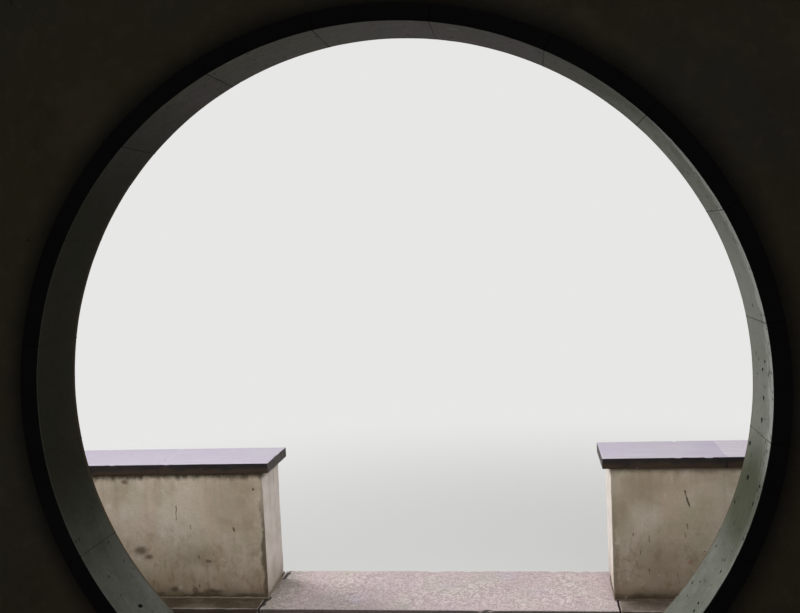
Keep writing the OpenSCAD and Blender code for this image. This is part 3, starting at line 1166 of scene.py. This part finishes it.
def slab_skin(lowest, highest, rounding, seed, tone):
    """A cap or coping slab with worn edges and a soiled lower edge."""
    skin = block_skin(lowest, highest, rounding, cell=0.01)
    skin.chip(0.0045, reach=0.006, size=0.03, share=0.28, seed=seed + 3)
    skin.rest()
    skin.roughen(0.0006, size=0.09, seed=seed)
    share = (skin.points[:, 2] - lowest[2]) / (highest[2] - lowest[2])
    lumps = layered_noise(skin.points, 0.05, seed + 5)
    skin.decay = np.clip(0.95 - share + 0.45 * lumps, 0, 1)
    skin.tone[:] = tone
    return skin


def slab_joint_skin(node, sizes):
    """Flush mortar between a seat wall's cap slab and the next one along +X."""
    lowest, highest = low(node), high(node)
    middle = highest.x + sizes.slab_joint / 2
    half = sizes.slab_joint / 2 + sizes.slab_edge
    behind = sizes.slab_edge / 3
    skin = block_skin(
        (middle - half, lowest.y + behind, lowest.z),
        (middle + half, highest.y - behind, highest.z - behind),
        behind / 2,
        cell=0.03,
    )
    skin.edge[:] = half
    skin.tone[:] = 0.7
    return skin


def stone_skin(node, seed, tone):
    """A granite stone with worn edges and a tooled face."""
    skin = block_skin(low(node), high(node), radius=0.006, cell=0.012)
    skin.chip(0.006, reach=0.009, size=0.05, share=0.3, seed=seed + 3)
    skin.rest()
    skin.roughen(0.0009, size=0.05, seed=seed)
    skin.tone[:] = tone
    return skin


def coping_skin(sizes):
    """The slabs along the gate wall's top."""
    lowest, highest = low("coping"), high("coping")
    pitch = (highest.x - lowest.x + sizes.slab_joint) / sizes.coping_slabs
    slabs = []
    for index in range(sizes.coping_slabs):
        start = lowest.x + index * pitch
        near = (start, lowest.y, lowest.z)
        far = (start + pitch - sizes.slab_joint, highest.y, highest.z)
        slabs.append(slab_skin(near, far, sizes.slab_edge, 221 + index, own_tone(index, 17)))
    return joined(slabs)


def tile_row(lowest, highest, start, side, joint):
    """One row of floor tiles, cut where it meets the podium's ends, without slivers."""
    narrowest = 5 * joint
    tiles = []
    while start < highest[0]:
        from_x = max(start, lowest[0]) + joint / 2
        to_x = min(start + side, highest[0]) - joint / 2
        start += side
        if to_x - from_x < narrowest:
            continue
        seed = round(1000 * to_x)
        near = (from_x, lowest[1] + joint / 2, lowest[2])
        tile = block_skin(near, (to_x, highest[1] - joint / 2, highest[2]), 0.004, cell=0.02)
        tile.rest()
        tile.roughen(0.0005, size=0.08, seed=seed)
        tile.chip(0.003, reach=0.006, size=0.04, share=0.3, seed=seed + 5)
        tile.tone[:] = own_tone(seed, 5)
        tiles.append(tile)
    return tiles


def floor_skin(sizes):
    """The walkway's tiles, in rows that break joint and start with a cut tile."""
    cut_off = 0.28
    lowest, highest = low("floor_bed"), high("floor_bed")
    side = (highest.y - lowest.y) / sizes.tile_rows
    tiles = []
    for row in range(sizes.tile_rows):
        near = lowest.y + row * side
        start = lowest.x - side * (cut_off + 0.5 * (row % 2))
        from_corner, to_corner = (lowest.x, near, lowest.z), (highest.x, near + side, highest.z)
        tiles += tile_row(from_corner, to_corner, start, side, sizes.tile_joint)
    return joined(tiles)


def core_skin(sizes):
    """Bricks that show at the podium's two ends."""
    lowest, highest = low("podium_core"), high("podium_core")
    length = (highest.y - lowest.y) / sizes.core_bricks
    gap = sizes.core_joint / 2
    brick_depth = 0.115
    bricks = []
    for end, face in ((-1, lowest.x), (1, highest.x)):
        from_x, to_x = sorted((face, face - end * brick_depth))
        for index in range(sizes.core_bricks):
            near = lowest.y + index * length
            far = (to_x, near + length - gap, highest.z - gap)
            brick = block_skin((from_x, near + gap, lowest.z), far, 0.003, cell=0.015)
            brick.rest()
            brick.roughen(0.0012, size=0.03, seed=500 + index)
            brick.chip(0.004, reach=0.007, size=0.03, share=0.35, seed=520 + index)
            brick.tone[:] = own_tone(index, 23 + end)
            bricks.append(brick)
    return joined(bricks)


def bedding_skin(node, behind):
    """Mortar in a node's place, behind its faces by its own amount along each axis."""
    behind = Vector(behind)
    return block_skin(low(node) + behind, high(node) - behind, radius=0.001, cell=0.3)


# Settings and operators


def length_property(name, description, default):
    """A length that can be changed in the panel."""
    return bpy.props.FloatProperty(
        name=name, description=description, default=default, min=0, precision=4, unit="LENGTH"
    )


def count_property(name, description, default):
    """A number of pieces that can be changed in the panel."""
    return bpy.props.IntProperty(name=name, description=description, default=default, min=1)


def colour_property(name, description, default):
    """A colour that can be changed in the panel."""
    return bpy.props.FloatVectorProperty(
        name=name, description=description, default=default, size=3, min=0, max=1, subtype="COLOR"
    )


class MOONGATE_PG_sizes(bpy.types.PropertyGroup):
    """Sizes of the finish."""

    wall_edge: length_property("Wall edge", "Rounding of the plaster's edges", 0.007)
    plaster_wave: length_property("Plaster wave", "Height of waves in the gate wall", 0.0014)
    lining_joint: length_property("Lining joint", "Width of the lining's joints", 0.002)
    lining_arris: length_property("Lining arris", "Rounding of the reveal's edges", 0.005)
    brick_edge: length_property("Brick edge", "Rounding of the lining bricks' edges", 0.0008)
    joint_depth: length_property("Joint depth", "How far the lining's mortar stays behind", 0.0004)
    slab_edge: length_property("Slab edge", "Rounding of the slabs' edges", 0.003)
    slab_joint: length_property("Slab joint", "Gap between two slabs", 0.002)
    tile_joint: length_property("Tile joint", "Width of the joints in the floor", 0.004)
    core_joint: length_property("Core joint", "Width of the joints in the podium", 0.01)
    coping_slabs: count_property("Coping slabs", "Slabs along the gate wall's top", 7)
    tile_rows: count_property("Tile rows", "Rows of tiles across the walkway", 2)
    core_bricks: count_property("Core bricks", "Bricks along each end of the podium", 4)


class MOONGATE_PG_colours(bpy.types.PropertyGroup):
    """Main colours of the finish."""

    # The gate wall's dark ground is painted shade of its near face
    wall_plaster: colour_property("Wall plaster", "Ground of the gate wall", linear(51, 44, 35))
    seat_plaster: colour_property("Pale plaster", "Ground of the seat walls", linear(213, 203, 189))
    lining: colour_property("Lining", "Ground of the reveal's brick", linear(120, 121, 113))
    # The band's near black is painted shade on grey brick
    band: colour_property("Band", "Lining on the wall's faces", linear(14, 13, 13))
    # The slabs' near black long faces are dirt and painted shade
    slab_side: colour_property("Slab side", "Long edges of the slabs", linear(30, 26, 27))
    slab_top: colour_property("Slab top", "Worn tops of the slabs", linear(185, 180, 190))
    granite: colour_property("Granite", "Ground of the stones", linear(173, 158, 159))
    floor_tile: colour_property("Floor tile", "Ground of the floor", linear(112, 114, 110))


class MOONGATE_OT_wall(bpy.types.Operator):
    """Plaster the gate wall"""

    bl_idname = "moon_gate.wall"
    bl_label = "Gate wall"

    def execute(self, context):
        sizes = context.scene.moon_gate_sizes
        skin = wall_skin(sizes.wall_edge)
        skin.roughen(sizes.plaster_wave, size=0.45, seed=3)
        skin.roughen(sizes.plaster_wave / 4, size=0.06, seed=9)
        plaster = material_of("Wall plaster", wall_plaster)
        make_piece("gate_wall_plaster", skin, plaster, WALL_NODES)
        return {"FINISHED"}


class MOONGATE_OT_lining(bpy.types.Operator):
    """Line the opening with rubbed bricks"""

    bl_idname = "moon_gate.lining"
    bl_label = "Opening lining"

    def execute(self, context):
        sizes = context.scene.moon_gate_sizes
        brick = material_of("Lining brick", lining_brick)
        for index in range(1, LINING_BLOCKS + 1):
            skin = lining_block_skin(index, sizes)
            node = f"lining_{index:02d}"
            make_piece(f"lining_brick_{index:02d}", skin, brick, [node])
        joints = joined([lining_joint_skin(i, sizes) for i in range(1, LINING_BLOCKS)])
        bedding = material_of("Lining mortar", lining_mortar)
        make_piece("lining_mortar", joints, bedding)
        return {"FINISHED"}


class MOONGATE_OT_seat_walls(bpy.types.Operator):
    """Plaster the two seat walls"""

    bl_idname = "moon_gate.seat_walls"
    bl_label = "Seat walls"

    def execute(self, context):
        plaster = material_of("Pale plaster", seat_plaster)
        for node, seed in (("seat_wall_left", 101), ("seat_wall_right", 151)):
            skin = seat_wall_skin(node, seed)
            make_piece(node + "_plaster", skin, plaster, [node])
        return {"FINISHED"}


# How dull each cap is and how soiled each stone, with painted shade, from 0 to 1, in the order of
# their seeds
CAP_TONES = {"cap_left_1": 0.9, "cap_left_2": 1.0, "cap_right_1": 0.3, "cap_right_2": 0.0}
STONE_TONES = {
    "kerb_left": 1.0,
    "kerb_slab": 0.0,
    "kerb_right": 0.8,
    "step_left": 0.3,
    "step_middle": 0.15,
    "step_right": 0.35,
    "threshold": 0.25,
}


class MOONGATE_OT_slabs(bpy.types.Operator):
    """Lay the seat walls' caps and the gate wall's coping"""

    bl_idname = "moon_gate.slabs"
    bl_label = "Caps and coping"

    def execute(self, context):
        sizes = context.scene.moon_gate_sizes
        brick = material_of("Slab brick", slab_brick)
        for seed, (node, tone) in enumerate(CAP_TONES.items(), 201):
            skin = slab_skin(low(node), high(node), sizes.slab_edge, seed, tone)
            make_piece(node + "_slab", skin, brick, [node])
        make_piece("coping_slabs", coping_skin(sizes), brick, ["coping"])
        joints = [slab_joint_skin(node, sizes) for node in ("cap_left_2", "cap_right_1")]
        make_piece("cap_joints", joined(joints), brick)
        return {"FINISHED"}


class MOONGATE_OT_stones(bpy.types.Operator):
    """Set the granite kerb, step and threshold stones"""

    bl_idname = "moon_gate.stones"
    bl_label = "Granite stones"

    def execute(self, context):
        stone = material_of("Granite", granite)
        for seed, (node, tone) in enumerate(STONE_TONES.items(), 301):
            make_piece(node + "_stone", stone_skin(node, seed, tone), stone, [node])
        return {"FINISHED"}


class MOONGATE_OT_floor(bpy.types.Operator):
    """Lay the walkway's tiles on the podium's brick core"""

    bl_idname = "moon_gate.floor"
    bl_label = "Floor and podium"

    def execute(self, context):
        sizes = context.scene.moon_gate_sizes
        tile = material_of("Floor tile", floor_tile)
        bedding = material_of("Mortar", mortar)
        brick = material_of("Core brick", core_brick)
        make_piece("floor_tiles", floor_skin(sizes), tile, ["floor_bed"])
        bed = bedding_skin("floor_bed", (0.003, 0.001, 0.003))
        make_piece("floor_joints", bed, bedding)
        make_piece("core_bricks", core_skin(sizes), brick)
        core = bedding_skin("podium_core", (0.004, 0, 0))
        make_piece("core_mortar", core, bedding, ["podium_core"])
        return {"FINISHED"}


# Camera: place in metres, angles in radians, and focal length in pixels of the picture
CAMERA_PLACE = (0.394, -2.6797, 1.5261)
CAMERA_YAW = 0.1345
CAMERA_PITCH = -0.0679
CAMERA_ROLL = -0.0444
FOCAL_PIXELS = 970.59
PICTURE_WIDTH = 800

# Background, and the light that comes from it on the near and the far side
BACKDROP = (0.8, 0.8, 0.79, 1)
SKY_NEAR = 0.16
SKY_FAR = 0.42

# Floor: colour, half its side, share of the backdrop in it, and where it is all backdrop
FLOOR_COLOUR = (0.48, 0.48, 0.47, 1)
FLOOR_HALF = 40.0
FLOOR_SHARE = 0.3
FADE_START = 1.8
FADE_END = 5.5

# Lamps: name, place, target, width, height and power in watts
LAMPS = (
    ("far_left_lamp", (-6.5, 4.0, 6.0), (0.3, 0.3, 0.9), 4.0, 4.0, 680),
    ("overhead_lamp", (-0.3, 0.5, 5.6), (0, 0.5, 0), 3.6, 3.6, 95),
    ("near_lamp", (0.8, -4.8, 3.0), (0, 0, 1.0), 3.0, 3.0, 22),
    ("walkway_lamp", (-0.3, 0.17, 1.2), (-0.3, 1.0, 1.2), 2.8, 0.9, 13),
    ("end_lamp", (7.0, 0.1, 2.6), (0, 0.1, 1.0), 0.6, 2.4, 80),
)


def aim_camera():
    """Camera at the photograph's place, from its turn, tilt and roll."""
    data = bpy.data.cameras.new("camera")
    data.sensor_fit = "HORIZONTAL"
    data.sensor_width = 36.0
    data.lens = FOCAL_PIXELS / PICTURE_WIDTH * data.sensor_width
    camera = add_object("camera", data)
    level = Vector((-math.sin(CAMERA_YAW), math.cos(CAMERA_YAW), 0))
    right = Vector((math.cos(CAMERA_YAW), math.sin(CAMERA_YAW), 0))
    up = Vector((0, 0, 1))
    ahead = level * math.cos(CAMERA_PITCH) + up * math.sin(CAMERA_PITCH)
    upward = up * math.cos(CAMERA_PITCH) - level * math.sin(CAMERA_PITCH)
    across = right * math.cos(CAMERA_ROLL) + upward * math.sin(CAMERA_ROLL)
    top = upward * math.cos(CAMERA_ROLL) - right * math.sin(CAMERA_ROLL)
    turn = Matrix((across, top, -ahead)).transposed().to_4x4()
    camera.matrix_world = Matrix.Translation(CAMERA_PLACE) @ turn
    bpy.context.scene.camera = camera


def add_light(name, place, target, width, height, power):
    """A soft rectangular lamp that faces its target."""
    data = bpy.data.lights.new(name, "AREA")
    data.shape = "RECTANGLE"
    data.size = width
    data.size_y = height
    data.energy = power
    lamp = add_object(name, data)
    lamp.location = place
    lamp.rotation_euler = (Vector(target) - Vector(place)).to_track_quat("-Z", "Y").to_euler()
    lamp.visible_camera = False


def stage_floor():
    """Pale floor that passes into the plain background away from the gate."""
    material = bpy.data.materials.new("Stage floor")
    g = Graph(empty_tree(material))
    distance = g.length(g.place("ShaderNodeTexCoord", output="Object"))
    floor = g.place("ShaderNodeBsdfDiffuse", {"Color": FLOOR_COLOUR})
    backdrop = g.place("ShaderNodeEmission", {"Color": BACKDROP, "Strength": 1.0})
    seen = g.place("ShaderNodeLightPath", output="Is Camera Ray")
    share = g.times(g.soft_step(distance, FADE_START, FADE_END, FLOOR_SHARE, 1.0), seen)
    surface = g.place("ShaderNodeMixShader", {0: share, 1: floor, 2: backdrop})
    g.place("ShaderNodeOutputMaterial", {"Surface": surface})
    mesh = bpy.data.meshes.new("stage_floor")
    signs = ((-1, -1), (1, -1), (1, 1), (-1, 1))
    mesh.from_pydata([(x * FLOOR_HALF, y * FLOOR_HALF, 0) for x, y in signs], [], [(0, 1, 2, 3)])
    mesh.materials.append(material)
    add_object("stage_floor", mesh)


def stage_world():
    """Soft light, stronger from the far side, which the camera sees as a plain background."""
    world = bpy.data.worlds.new("world")
    g = Graph(empty_tree(world))
    seen = g.place("ShaderNodeLightPath", output="Is Camera Ray")
    beyond = g.axis(g.place("ShaderNodeTexCoord", output="Generated"), 1)
    light = g.soft_step(beyond, -0.7, 0.7, SKY_NEAR, SKY_FAR)
    strength = g.math("MAXIMUM", seen, light)
    sky = g.place("ShaderNodeBackground", {"Color": BACKDROP, "Strength": strength})
    g.place("ShaderNodeOutputWorld", {"Surface": sky})
    bpy.context.scene.world = world


class MOONGATE_OT_stage(bpy.types.Operator):
    """Set up the floor, the lamps, the background and the camera"""

    bl_idname = "moon_gate.stage"
    bl_label = "Stage"

    def execute(self, context):
        stage_floor()
        stage_world()
        for lamp in LAMPS:
            add_light(*lamp)
        aim_camera()
        context.scene.view_settings.view_transform = "Standard"
        return {"FINISHED"}


OPERATORS = (
    MOONGATE_OT_wall,
    MOONGATE_OT_lining,
    MOONGATE_OT_seat_walls,
    MOONGATE_OT_slabs,
    MOONGATE_OT_stones,
    MOONGATE_OT_floor,
    MOONGATE_OT_stage,
)


class MOONGATE_PT_panel(bpy.types.Panel):
    """Moon gate tools"""

    bl_label = "Moon gate"
    bl_idname = "MOONGATE_PT_panel"
    bl_space_type = "VIEW_3D"
    bl_region_type = "UI"
    bl_category = "Moon gate"

    def draw(self, context):
        for group in (context.scene.moon_gate_sizes, context.scene.moon_gate_colours):
            column = self.layout.column(align=True)
            for name in group.__annotations__:
                column.prop(group, name)
        for operator in OPERATORS:
            self.layout.operator(operator.bl_idname)


CLASSES = (MOONGATE_PG_sizes, MOONGATE_PG_colours, *OPERATORS, MOONGATE_PT_panel)


def register():
    """Makes the classes known and gives each scene its settings."""
    for cls in CLASSES:
        bpy.utils.register_class(cls)
    bpy.types.Scene.moon_gate_sizes = bpy.props.PointerProperty(type=MOONGATE_PG_sizes)
    bpy.types.Scene.moon_gate_colours = bpy.props.PointerProperty(type=MOONGATE_PG_colours)


def unregister():
    """Takes the settings and the classes away again."""
    del bpy.types.Scene.moon_gate_colours
    del bpy.types.Scene.moon_gate_sizes
    for cls in reversed(CLASSES):
        bpy.utils.unregister_class(cls)


def main():
    """Builds every piece and the stage."""
    register()
    bpy.ops.moon_gate.wall()
    bpy.ops.moon_gate.lining()
    bpy.ops.moon_gate.seat_walls()
    bpy.ops.moon_gate.slabs()
    bpy.ops.moon_gate.stones()
    bpy.ops.moon_gate.floor()
    bpy.ops.moon_gate.stage()


if __name__ == "__main__":
    main()
